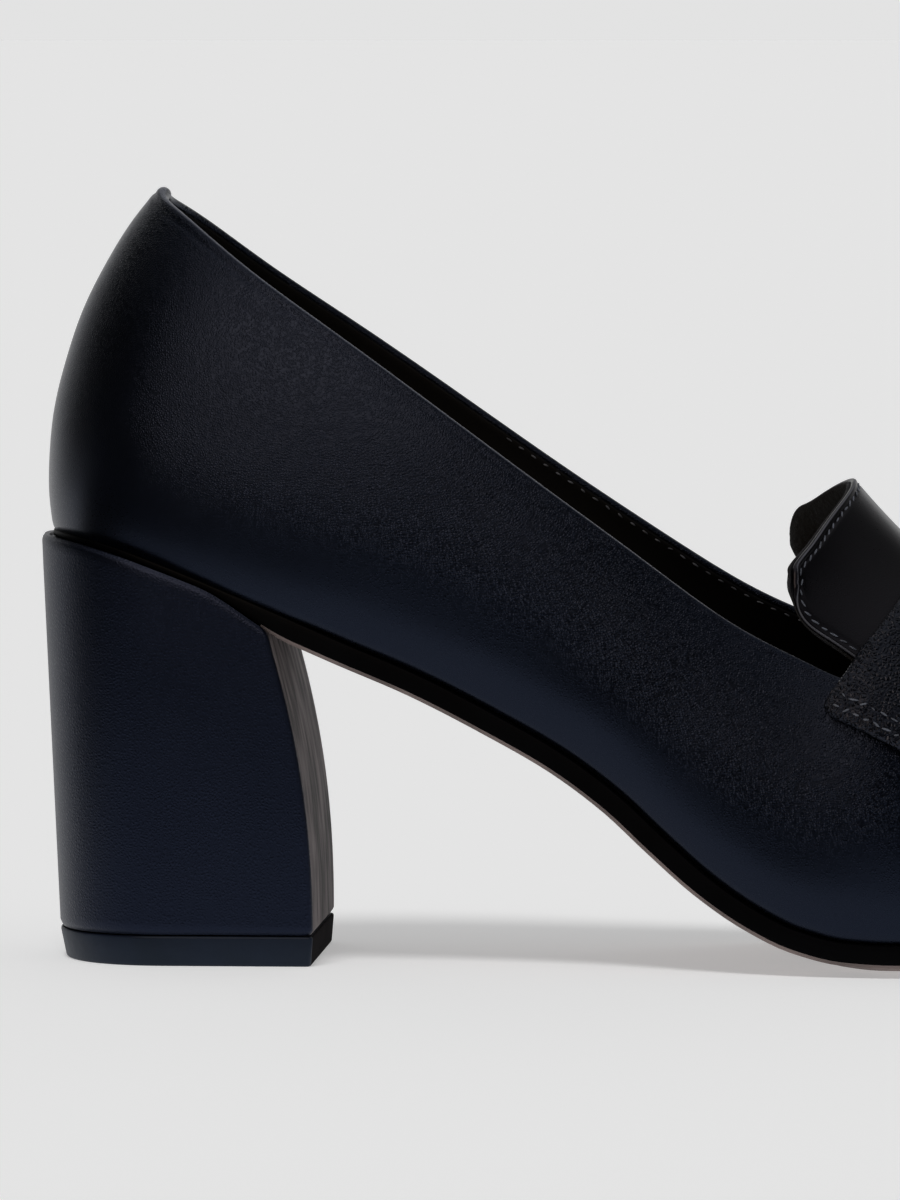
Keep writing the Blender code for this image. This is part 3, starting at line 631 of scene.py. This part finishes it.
def make_lining():
    """The lining: a thin skin inside the leather that stops just below the folded edge."""
    u = np.arange(LINING_AROUND) * ROW_COUNT / LINING_AROUND
    _, speed = top_frame(u)
    t_top = 1.0 - (LINING_DROP + fold_radius(u) * 0.3) / speed
    up = np.linspace(0.0, 1.0, LINING_UP) ** 0.9
    half = (LINING_DEPTHS[1] - LINING_DEPTHS[0]) / 2.0
    share = np.concatenate([up, np.ones(len(RIM_TURN)), up[::-1]])
    flat = np.full(LINING_UP, math.pi / 2)
    turn = np.concatenate([flat, RIM_TURN, -flat])
    depth = sum(LINING_DEPTHS) / 2.0 - half * np.sin(turn)
    t = share[:, None] * t_top + (half * np.cos(turn))[:, None] / speed
    points = upper_skin(u, t) - upper_normal(u, t) * depth[:, None, None]
    faces = quads(len(points), LINING_AROUND, close_rows=True, close_columns=True)
    piece("quarter_lining", points, faces, [LINING], "insole_sock")


def sheet(name, face, thick, materials, slot, nodes=()):
    """A sheet of leather under a grid of points, with its cut edges rounded.

    The back is the face moved inward by the thickness, and the rim is a half circle carried round
    the border of the grid: out * cos + normal * sin of half the thickness. A second material,
    where there is one, goes on one thin strip of the rim next to the face, as a painted highlight
    line along the cut edge.
    """
    rows, columns = face.shape[:2]
    normal = grid_normal(face)
    middle = face - normal * (thick / 2.0)
    back = face - normal * thick
    count = rows * columns
    around = np.concatenate([
        np.arange(columns - 1),
        np.arange(rows - 1) * columns + columns - 1,
        (rows - 1) * columns + np.arange(columns - 1, 0, -1),
        np.arange(rows - 1, 0, -1) * columns,
    ])
    border, outward = middle.reshape(-1, 3)[around], normal.reshape(-1, 3)[around]
    out = unit(np.cross(unit(np.roll(border, -1, axis=0) - np.roll(border, 1, axis=0)), outward))
    if np.sum(out * (border - middle.reshape(-1, 3).mean(axis=0))) < 0.0:
        out = -out
    turn = RIM_TURN[:, None, None]
    rim = border + (thick / 2.0) * (np.cos(turn) * out + np.sin(turn) * outward)
    points = np.concatenate([grid.reshape(-1, 3) for grid in (face, back, rim)])
    front = quads(rows, columns)
    ring = len(around)
    layers = np.concatenate([around[None], 2 * count + np.arange(len(rim) * ring).reshape(-1, ring),
                             around[None] + count])
    after = np.roll(layers, -1, axis=1)
    band = np.stack([layers[:-1], layers[1:], after[1:], after[:-1]], axis=-1).reshape(-1, 4)
    faces = np.concatenate([front, count + front[:, ::-1], band])
    index = None
    if len(materials) > 1:
        index = np.zeros(len(faces), int)
        index[2 * len(front) + ring:2 * len(front) + 2 * ring] = 1
    piece(name, points, faces, materials, slot, nodes, index=index)


def grid_normal(face):
    """Unit normals of a grid of points, from the cross product of its central differences."""
    return unit(np.cross(np.gradient(face, axis=1), np.gradient(face, axis=0)))


HAND = np.random.default_rng(7)


def stitch_row(points, normals, pitch, length, radius, lean, uneven):
    """Stitches along a path: each a small rounded grain, length along the path, half sunk in.

    A stitch is an ellipsoid cos-sin grid whose long axis follows the path, turned by lean towards
    its side. uneven is how much its lean, length and depth wander from stitch to stitch.
    """
    run = np.concatenate([[0.0], np.cumsum(np.linalg.norm(np.diff(points, axis=0), axis=1))])
    at = np.arange(pitch / 2, run[-1], pitch)

    def read(line, at):
        return np.stack([np.interp(at, run, line[:, k]) for k in range(3)], axis=-1)
    spot, up = read(points, at), unit(read(normals, at))
    along = unit(read(points, at + 0.3) - read(points, at - 0.3))
    side = unit(np.cross(up, along))
    wander = HAND.normal(0.0, 1.0, (3, len(at), 1))
    lean = lean + uneven * wander[0]
    spot = spot + up * radius * uneven * wander[2]
    length = (length * (1.0 + 0.6 * uneven * np.clip(wander[1], -1.5, 1.5)))[:, :, None, None]
    along, side = (along * np.cos(lean) + side * np.sin(lean),
                   side * np.cos(lean) - along * np.sin(lean))
    a = np.linspace(0.0, math.pi, 7)[:, None]
    b = np.linspace(0.0, 2.0 * math.pi, 7)[:-1]
    x = np.cos(a) * np.ones(len(b)) / 2
    y, z = np.sin(a) * np.cos(b) * radius, np.sin(a) * np.sin(b) * radius
    grain = (length * x[..., None] * along[:, None, None] + y[..., None] * side[:, None, None]
             + z[..., None] * up[:, None, None])
    grain = grain + (spot + up * radius * 0.15)[:, None, None]
    base = quads(len(a), len(b), close_columns=True)
    faces = base[None] + (np.arange(len(at)) * a.size * b.size)[:, None, None]
    return grain.reshape(-1, 3), faces.reshape(-1, 4)


def join_rows(rows):
    """Several rows of stitches as one set of points and faces."""
    points, faces = zip(*rows)
    offset = np.cumsum([0] + [len(row) for row in points])
    return np.concatenate(points), np.concatenate([row + shift for row, shift in zip(faces, offset)])


def collar_stitches():
    """The seam that holds the lining, a little below the topline, along both sides of the collar."""
    u = np.linspace(5.6, ROW_COUNT - 5.6, 700)
    _, speed = top_frame(u)
    t = 1.0 - COLLAR_SEAM_DOWN / speed
    normal = -upper_normal(u, t)
    line = upper_skin(u, t) + normal * LINING_DEPTHS[1]
    rows = []
    for half in (u < BACK_ROW, u > BACK_ROW):
        side = half & (line[:, 0] > COLLAR_SEAM_FROM)
        rows.append(stitch_row(line[side], normal[side], **COLLAR_STITCH))
    return join_rows(rows)


def tongue_face(a, s):
    """Outer face of the tongue at a across, -1 to 1, and s along it.

    From s = -1 to 0 it lies under the vamp, and from 0 to 1 it is the arc
    throat + 2 s (1 - s) turn + s^2 end, whose turn and end are quartics through five flaps.
    """
    a, s = np.broadcast_arrays(np.asarray(a, float), np.asarray(s, float))
    curves = np.polyfit(FLAP_ACROSS, FLAPS, len(FLAP_ACROSS) - 1)
    bend = np.stack([np.polyval(curves[:, k], a) for k in range(6)], axis=-1)
    u = -a * TONGUE_SPAN
    t = 1.0 + np.minimum(s, 0.0) * TONGUE_FOOT_SHARE
    base = upper_skin(u, t) - upper_normal(u, t) * TONGUE_DEPTH
    free = np.maximum(s, 0.0)[..., None]
    return base + 2.0 * free * (1.0 - free) * bend[..., :3] + free * free * bend[..., 3:]


def tongue_lengths(a, s):
    """Millimetres per unit of a and of s on the tongue's face."""
    across = np.linalg.norm(tongue_face(a + 0.01, s) - tongue_face(a - 0.01, s), axis=-1) / 0.02
    along = np.linalg.norm(tongue_face(a, s) - tongue_face(a, s - 0.01), axis=-1) / 0.01
    return across, along


def tongue_top(a):
    """Share of the tongue's free length at a: its two top corners are quarter circles.

    The drop is R - sqrt(R^2 - (R - gap)^2), where gap is how far in from the side the point lies.
    """
    a = np.asarray(a, float)
    width, length = tongue_lengths(np.clip(a, -0.97, 0.97), np.full(a.shape, 0.95))
    radius = np.where(a > 0.0, TONGUE_CORNERS[1], TONGUE_CORNERS[0])
    left = np.clip(radius - (1.0 - np.abs(a)) * width, 0.0, radius)
    drop = radius - np.sqrt(np.maximum(radius ** 2 - left ** 2, 0.0))
    return 1.0 - (drop + TONGUE_NEAR_DROP * np.clip(-a, 0.0, 1.0)) / length


def tongue_bulge(a, s):
    """How far the near side of the tongue swells outward halfway up, in mm."""
    return TONGUE_NEAR_BULGE * hump(s, 0.5, 0.24) * (np.asarray(a) < 0.0)


def tongue_grid(inset, rows, columns):
    """Grid of a and s over the tongue, its sides and top edge moved in by inset millimetres."""
    s = np.concatenate([np.linspace(-1.0, 0.0, 10)[:-1], np.linspace(0.0, 1.0, rows)])
    a = np.linspace(-1.0, 1.0, columns)
    a, s = np.broadcast_arrays(a, s[:, None])
    width = tongue_lengths(np.sign(a) * 0.98, np.clip(s, 0.02, 0.98))[0]
    tall = tongue_lengths(a, np.full(a.shape, 0.98))[1]
    s = np.where(s > 0.0, s * (tongue_top(a) - inset / tall), s)
    a = a * (1.0 + (tongue_bulge(a, s) - inset) / width)
    return a, s


def tongue_edge_gap(a, s):
    """How far in from its sides and top edge a point of the tongue lies, in mm."""
    width, length = tongue_lengths(a, np.clip(s, 0.02, 1.0))
    side = (1.0 - np.abs(a)) * width + tongue_bulge(a, s)
    return np.minimum(side, np.where(s > 0.0, (tongue_top(a) - s) * length, 99.0))


def make_tongue():
    """The tongue: smooth leather over a suede lining whose edge peeps out at the sides."""
    a, s = tongue_grid(TONGUE_LEATHER / 2.0, 60, 110)
    face = tongue_face(a, s)
    gap = tongue_edge_gap(a, s)
    relief = 0.05 * (1.0 - ease(gap, 0.6, 1.0)) - 0.14 * hump(gap, TONGUE_STITCH_IN, 0.35)
    face = face + grid_normal(face) * relief[..., None]
    # The second material paints a highlight line on one strip of the tongue's cut edge.
    sheet("tongue_leather_sheet", face, TONGUE_LEATHER, [TONGUE_CALF, CUT_EDGE_HIGHLIGHT], "tongue_leather",
          ["tongue"])
    back = tongue_face(*tongue_grid(0.1, 50, 90))
    back = back - grid_normal(back) * (TONGUE_LEATHER + 0.05)
    sheet("tongue_lining_sheet", back, TONGUE_LINING, [SUEDE], "tongue_leather")


def tongue_stitches():
    """One seam round the tongue's free edge, a little in from it."""
    a = np.linspace(-1.0, 1.0, 400)
    width, tall = tongue_lengths(np.clip(a, -0.97, 0.97), np.full(a.shape, 0.95))
    top_a = a * (1.0 - TONGUE_STITCH_IN / width)
    top_s = tongue_top(a) - TONGUE_STITCH_IN / tall
    rise = np.linspace(0.06, 1.0, 160)
    left_in = TONGUE_STITCH_IN - tongue_bulge(-1.0, rise * top_s[0])
    left_a = -1.0 + left_in / tongue_lengths(np.full(rise.shape, -0.97), rise * 0.95)[0]
    right_a = 1.0 - TONGUE_STITCH_IN / tongue_lengths(np.full(rise.shape, 0.97), rise * 0.95)[0]
    along_a = np.concatenate([left_a, top_a, right_a[::-1]])
    along_s = np.concatenate([rise * top_s[0], top_s, (rise * top_s[-1])[::-1]])
    face = tongue_face(along_a, along_s)
    step_a = tongue_face(along_a + 0.01, along_s) - tongue_face(along_a - 0.01, along_s)
    step_s = tongue_face(along_a, along_s) - tongue_face(along_a, along_s - 0.01)
    normal = unit(np.cross(step_a, step_s))
    return stitch_row(face - normal * 0.10, normal, **TONGUE_STITCH)


def strap_surface(distances, shares, lift=0.0):
    """Outer face of the strap: the skin's points moved out along its normal."""
    u, t, from_end = strap_grid(distances, shares)
    normal = upper_normal(u, t)
    return upper_skin(u, t) + normal * (STRAP_GAP + STRAP_THICK + lift), normal, from_end


def make_strap():
    """The saddle strap: grained leather, rolled at its edges and drawn down by its end seams."""
    inner = STRAP_THICK / 2.0
    distances = np.linspace(inner, STRAP_WIDTH - inner, 66)
    shares = np.linspace(-1.0, 1.0, 210) * (1.0 - inner / STRAP_REACH[0])
    face, normal, from_end = strap_surface(distances, shares)
    edge = np.minimum(distances, STRAP_WIDTH - distances)[:, None]
    relief = -0.30 * (1.0 - ease(edge, 0.8, 2.4)) - 0.25 * (1.0 - ease(from_end, 0.8, 2.0))
    for row in STRAP_ROWS_IN:
        relief = relief - 0.16 * hump(from_end, row, 0.5)
    along = distances[:, None]
    draw = np.sin(along * 2.33 + 0.8 * np.sin(along * 0.7))
    relief = relief + 0.07 * draw * hump(from_end, 3.1, 2.2)
    face = face + normal * relief[..., None]
    sheet("saddle_strap_sheet", face, STRAP_THICK - 0.1, [STRAP_CALF], "strap_leather",
          ["saddle_strap"])


def strap_stitches():
    """Two seams across each end of the strap."""
    rows = []
    for side in (-1.0, 1.0):
        for row in STRAP_ROWS_IN:
            distances = np.linspace(1.6, STRAP_WIDTH - 1.6, 60)
            share = side * (1.0 - row / (0.5 * sum(STRAP_REACH)))
            face, normal, _ = strap_surface(distances, np.array([share]), lift=-0.14)
            rows.append(stitch_row(face[:, 0], normal[:, 0], **STRAP_STITCH))
    return join_rows(rows)


def plate_shell(name, levels, edge, under, materials, slot, node, along, across, crown=None):
    """A plate under the last, closed through its levels.

    A level is an outset from the feather line and a depth below the last, which edge turns into
    millimetres at u, and under at x. Each step along the shoe has one closed loop: across the top,
    down one edge, back across the bottom, up the other. At toe and heel the loops close to a line.
    A second material is the tread's, from its level down and in front of the heel.
    """
    u = BACK_ROW * (1.0 - np.cos(np.linspace(0.0, math.pi, along + 1))) / 2.0
    share = (1.0 - np.cos(np.linspace(0.0, math.pi, across + 1)))[None, :, None] / 2.0
    back = share[:, ::-1]
    sides = [(feather_plan(u, edge(u, outset))[0][:, None],
              feather_plan(ROW_COUNT - u, edge(u, outset))[0][:, None], depth)
             for outset, depth in levels]
    half = np.abs(sides[0][1][..., 1] - sides[0][0][..., 1]) / 2.0

    def loop(plan, depth, ends=1.0):
        x, z = below_last(plan[..., 0], under(plan[..., 0], depth))
        if crown is not None:
            z = z - crown(x, half, ends)
        return np.stack([x, plan[..., 1], z], axis=-1)
    lateral, medial, depth = sides[0]
    loops = [loop(lateral * (1 - share) + medial * share, depth)]
    loops += [loop(medial, depth) for _, medial, depth in sides[1:-1]]
    lateral, medial, depth = sides[-1]
    loops += [loop(lateral * (1 - back) + medial * back, depth, np.abs(2.0 * back[..., 0] - 1.0))]
    loops += [loop(lateral, depth) for lateral, _, depth in sides[-2:0:-1]]
    points = np.concatenate(loops, axis=1)
    columns = points.shape[1]
    index = None
    if len(materials) > 1:
        column = np.tile(np.arange(columns), along)
        ahead = np.repeat(points[:-1, 0, 0] > BREAST_FOOT_X - BREAST_SWEEP + 2.0, columns)
        tread = (column >= across + TREAD_LEVEL) & (column < columns - TREAD_LEVEL)
        index = (tread & ahead).astype(int)
    piece(name, points, quads(along + 1, columns, close_columns=True), materials, slot, [node],
          index=index, sharp=50.0)


def sole_thickness(x):
    """Thin over the heel's seat, growing to full thickness at the breast."""
    return SOLE_SEAT_THICK + (SOLE_THICK - SOLE_SEAT_THICK) * ease(x, *SOLE_RAMP_X)


def tread_crown(x, half, share):
    """How far the sole's bottom drops below its edges: flat in the middle, nothing at the edge."""
    return 1.7 * ease(x, 98.0, 122.0) * ease(half, 0.0, 26.0) * (1.0 - ease(share, 0.6, 1.0))


def sole_edge(u, outset):
    """The sole stands half a millimetre out, and draws in under the heel's seat."""
    return (0.5 + outset) - 0.7 * ease(u, BACK_ROW - 4.0, BACK_ROW - 2.0)


def sole_under(x, share):
    """Depth below the last of a share of the sole's thickness."""
    return PIECE_GAP + sole_thickness(x) * share


def make_outsole():
    """The sole: painted edge with eased corners, and a pale leather bottom that shows as a line."""
    plate_shell("outsole_edge_and_tread", SOLE_LEVELS, sole_edge, sole_under,
                [EDGE_PAINT, SOLE_LEATHER], "outsole_leather", "outsole", 220, 24, tread_crown)


def make_sock():
    """The sock over the insole board, with a soft edge turned up against the lining."""
    plate_shell("insole_sock_pad", SOCK_LEVELS, lambda u, outset: outset,
                lambda x, depth: depth, [SOCK], "insole_sock", "insole", 140, 16)


def breast_x(z):
    """The breast's profile, which sweeps forward by a power of the height as it goes down."""
    share = np.clip((np.asarray(z, float) - LIFT_HEIGHT) / BREAST_HEIGHT, 0.0, 1.2)
    return BREAST_FOOT_X - BREAST_SWEEP * share ** BREAST_POWER


def heel_seat_z(x):
    """Height of the heel's top face at x, one gap under the outsole."""
    along = np.linspace(-30.0, 60.0, 181)
    at, height = below_last(along, 2.0 * PIECE_GAP + sole_thickness(along))
    return np.interp(x, at, height)


def heel_outline(back, half, depth, front, corner, inset):
    """One outline of the heel as a closed ring: superellipse back, straight flanks, eased corners.

    It starts in the middle of the back and goes round by the lateral side.
    """
    back, half, front = back + inset, half - inset, front - inset
    turn = np.linspace(0.0, math.pi / 2, BACK_STEPS)
    x = back + depth * (1.0 - np.cos(turn) ** HEEL_POWER)
    y = half * np.sin(turn) ** HEEL_POWER
    flank = np.linspace(x[-1], front - corner, FLANK_STEPS + 1)[1:]
    bend = np.linspace(0.0, math.pi / 2, CORNER_STEPS + 1)[1:]
    breast = np.linspace(half - corner, 0.0, FRONT_STEPS + 1)[1:]
    x = np.concatenate([x, flank, front - corner + corner * np.sin(bend), np.full(FRONT_STEPS, front)])
    y = np.concatenate([y, np.full(FLANK_STEPS, half), half - corner + corner * np.cos(bend), breast])
    return np.concatenate([x, x[-2:0:-1]]), np.concatenate([-y, y[-2:0:-1]])


def block(name, rings, materials, slot, node):
    """A block through stacked rings, its two ends closed by quads from one side to the other.

    Faces from ring point BREAST_START to its mirror image, the breast, take the second material.
    """
    points = np.stack([np.stack(ring, axis=-1) for ring in rings])
    levels, count = points.shape[:2]
    i = np.arange(count // 2)
    cap = np.stack([i, i + 1, (count - i - 1) % count, (count - i) % count], axis=-1)
    top = cap[:, ::-1] + (levels - 1) * count
    column = np.tile(np.arange(count), levels - 1)
    index = np.zeros(len(column) + 2 * len(i), int)
    index[:len(column)] = (column >= BREAST_START) & (column < count - BREAST_START)
    piece(name, points, np.concatenate([quads(levels, count, close_columns=True), cap, top]),
          materials, slot, [node], index=index, sharp=50.0)


def make_heel():
    """The covered block: outlines that grow towards the seat, with eased edges at top and foot."""
    foot_z = LIFT_HEIGHT + PIECE_GAP
    front_top = BREAST_FOOT_X - BREAST_SWEEP
    for _ in range(4):
        front_top = float(breast_x(heel_seat_z(front_top)))
    shares = np.concatenate([[0.0, 0.002, 0.006], np.linspace(0.015, 0.985, 60), [0.993, 0.998, 1.0]])
    insets = 0.45 * (1.0 - ease(shares, 0.0, 0.012)) + 0.50 * ease(shares, 0.986, 1.0) ** 1.5
    insets = np.append(insets, (1.35, 1.55))
    lifts = np.append(HEEL_LIP * ease(shares, 0.93, 1.0), (HEEL_LIP, 0.0))
    shares = np.append(shares, (1.0, 1.0))
    rings = []
    for share, inset, lift in zip(shares, insets, lifts):
        x_low, y_low = heel_outline(**HEEL_FOOT, front=BREAST_FOOT_X, corner=HEEL_CORNER, inset=inset)
        x_top, y_top = heel_outline(**HEEL_TOP, front=front_top, corner=HEEL_CORNER, inset=inset)
        x = x_low + (x_top - x_low) * share
        y = y_low + (y_top - y_low) * share
        z = foot_z + (heel_seat_z(x_top) - foot_z) * share + lift
        linear = BREAST_FOOT_X + (front_top - BREAST_FOOT_X) * share
        sweep = breast_x(foot_z + (heel_seat_z(front_top) - foot_z) * share) - linear
        ahead = ease(x, HEEL_FOOT["back"] + 12.0, BREAST_FOOT_X - 2.0)
        rings.append((x + sweep * ahead, y, z))
    block("heel_block_cover", rings, [HEEL_CALF, BREAST_CALF], "heel_cover", "heel")


def make_top_lift():
    """The top lift: slightly tapered to its tread, its corners eased."""
    rings = []
    for z, taper, front, inset in LIFT_RINGS:
        x, y = heel_outline(HEEL_FOOT["back"] + taper, HEEL_FOOT["half"] - taper / 2,
                            HEEL_FOOT["depth"], BREAST_FOOT_X - front, LIFT_CORNER, inset)
        rings.append((x, y, np.full(len(x), z)))
    block("top_lift_block", rings, [LIFT_RUBBER, LIFT_FRONT], "top_lift_rubber", "top_lift")


# Studio, in metres: paper tone and glow of the floor, black flags, a warm panel and the lights
PALE = 0.767
FLOOR_RADIUS = 40.0
FLOOR_TONE = 0.80
FLOOR_GLOW = 0.342
FLAG_TONE = 0.001
FLAG_HEIGHT = 0.001
FRONT_FLAG = ((-4.0, -4.0), (4.0, -0.17))
LEFT_FLAG = ((-4.0, -0.17), (-0.17, 0.06))
PANEL_CENTRE = np.array([0.002, -0.132, 0.156])
PANEL_FACES = np.array([0.012, -0.025, 0.095])
PANEL_HALF = (0.062, 0.060)
PANEL_GLOW = 2.3
PANEL_WARMTH = (1.0, 0.80, 0.62)
BACKDROP_IN, BACKDROP_TOP = (0.40, 0.88), (0.36, 0.78)
OVERHEAD_IN, OVERHEAD = (0.60, 0.95), 0.45
WINDOW_AHEAD, WINDOW_NEAR, WINDOW_UP, WINDOW = (0.30, 0.85), (-0.35, 0.0), (0.02, 0.30), 0.22
ROOM = 0.006
KEY_POWER = 0.98
KEY_SPREAD = 16.0
KEY_FROM = (-0.10, -0.42, 1.0)
LENS = 303.4
CAMERA_AT = (163.574, -1792.881, 170.178)
CAMERA_FACES = (44.491, 0.0, 63.427)


def stage_card(name, corners, level, glow, warmth=WHITE, seen=False):
    """A sheet of the studio, of a grey level and a glow. Unseen, it shows in reflections alone."""
    mesh = bpy.data.meshes.new(name)
    mesh.from_pydata([tuple(corner) for corner in corners], [], [tuple(range(len(corners)))])
    material, shader, wire = new_finish(name)
    shader_set(wire, shader, Base_Color=tone(WHITE, level), Roughness=1.0, Specular_IOR_Level=0.0,
               Emission_Color=tone(warmth), Emission_Strength=glow)
    mesh.materials.append(material)
    card = linked(name, mesh)
    for ray in () if seen else ("camera", "diffuse", "shadow", "transmission"):
        setattr(card, "visible_" + ray, False)


def make_stage():
    """A wide pale floor, black flags in front and to the left, and a soft panel at the rear quarter."""
    around = np.linspace(0.0, 2.0 * math.pi, 65)[:-1]
    ring = np.stack([np.cos(around), np.sin(around), 0.0 * around], axis=-1) * FLOOR_RADIUS
    stage_card("floor", ring, FLOOR_TONE, FLOOR_GLOW, seen=True)
    for name, ((x0, y0), (x1, y1)) in (("front_flag", FRONT_FLAG), ("left_flag", LEFT_FLAG)):
        corners = [(x, y, FLAG_HEIGHT) for x, y in ((x0, y0), (x1, y0), (x1, y1), (x0, y1))]
        stage_card(name, corners, FLAG_TONE, 0.0)
    ahead = PANEL_FACES - PANEL_CENTRE
    side = unit(np.cross(ahead, [0.0, 0.0, 1.0])) * PANEL_HALF[0]
    tall = unit(np.cross(side, ahead)) * PANEL_HALF[1]
    stage_card("soft_panel", [PANEL_CENTRE + across * side + up * tall
                              for across, up in ((-1, -1), (1, -1), (1, 1), (-1, 1))],
               0.0, PANEL_GLOW, PANEL_WARMTH)


def make_light():
    """Studio light: a dark room with a pale backdrop behind, soft light above and a key overhead."""
    world = bpy.data.worlds.new("studio")
    world.use_nodes = True
    bpy.context.scene.world = world
    wire = Wire(world.node_tree)
    way = wire.node("ShaderNodeTexCoord", {}, {}, output=0)
    x, y, z = [wire.node("ShaderNodeSeparateXYZ", {}, {0: way}, output=k) for k in range(3)]
    backdrop = y.ease(*BACKDROP_IN) * (1 - z.ease(*BACKDROP_TOP))
    window = x.ease(*WINDOW_AHEAD) * (1 - y.ease(*WINDOW_NEAR)) * z.ease(*WINDOW_UP) * WINDOW
    room = backdrop * PALE + z.ease(*OVERHEAD_IN) * OVERHEAD + window + ROOM
    seen = wire.node("ShaderNodeLightPath", {}, {}, output="Is Camera Ray")
    background = world.node_tree.nodes["Background"]
    wire.feed(background.inputs["Strength"], seen * PALE + (1 - seen) * room)
    background.inputs["Color"].default_value = tone(WHITE)
    sun = bpy.data.lights.new("key", "SUN")
    sun.energy = KEY_POWER
    sun.angle = math.radians(KEY_SPREAD)
    lamp = linked("key", sun)
    lamp.visible_glossy = False
    lamp.rotation_euler = Vector(KEY_FROM).to_track_quat("Z", "Y").to_euler()


def make_camera():
    """The photo's view: almost square to the little-toe side, a few degrees above the floor."""
    lens = bpy.data.cameras.new("photo_view")
    lens.lens = LENS
    lens.clip_start = 0.05
    lens.clip_end = 200.0
    camera = linked("photo_view", lens)
    at, look = Vector(CAMERA_AT) * MM, Vector(CAMERA_FACES) * MM
    camera.location = at
    camera.rotation_euler = (look - at).to_track_quat("-Z", "Y").to_euler()
    bpy.context.scene.camera = camera


make_camera()
make_light()
make_stage()
bpy.context.scene.view_settings.view_transform = "Standard"

make_upper()
make_lining()
make_tongue()
make_strap()
make_outsole()
make_sock()
make_heel()
make_top_lift()
piece("collar_seam", *collar_stitches(), [DIM_THREAD], "insole_sock")
piece("tongue_seam", *tongue_stitches(), [PALE_THREAD], "tongue_leather")
piece("strap_seams", *strap_stitches(), [PALE_THREAD], "strap_leather")
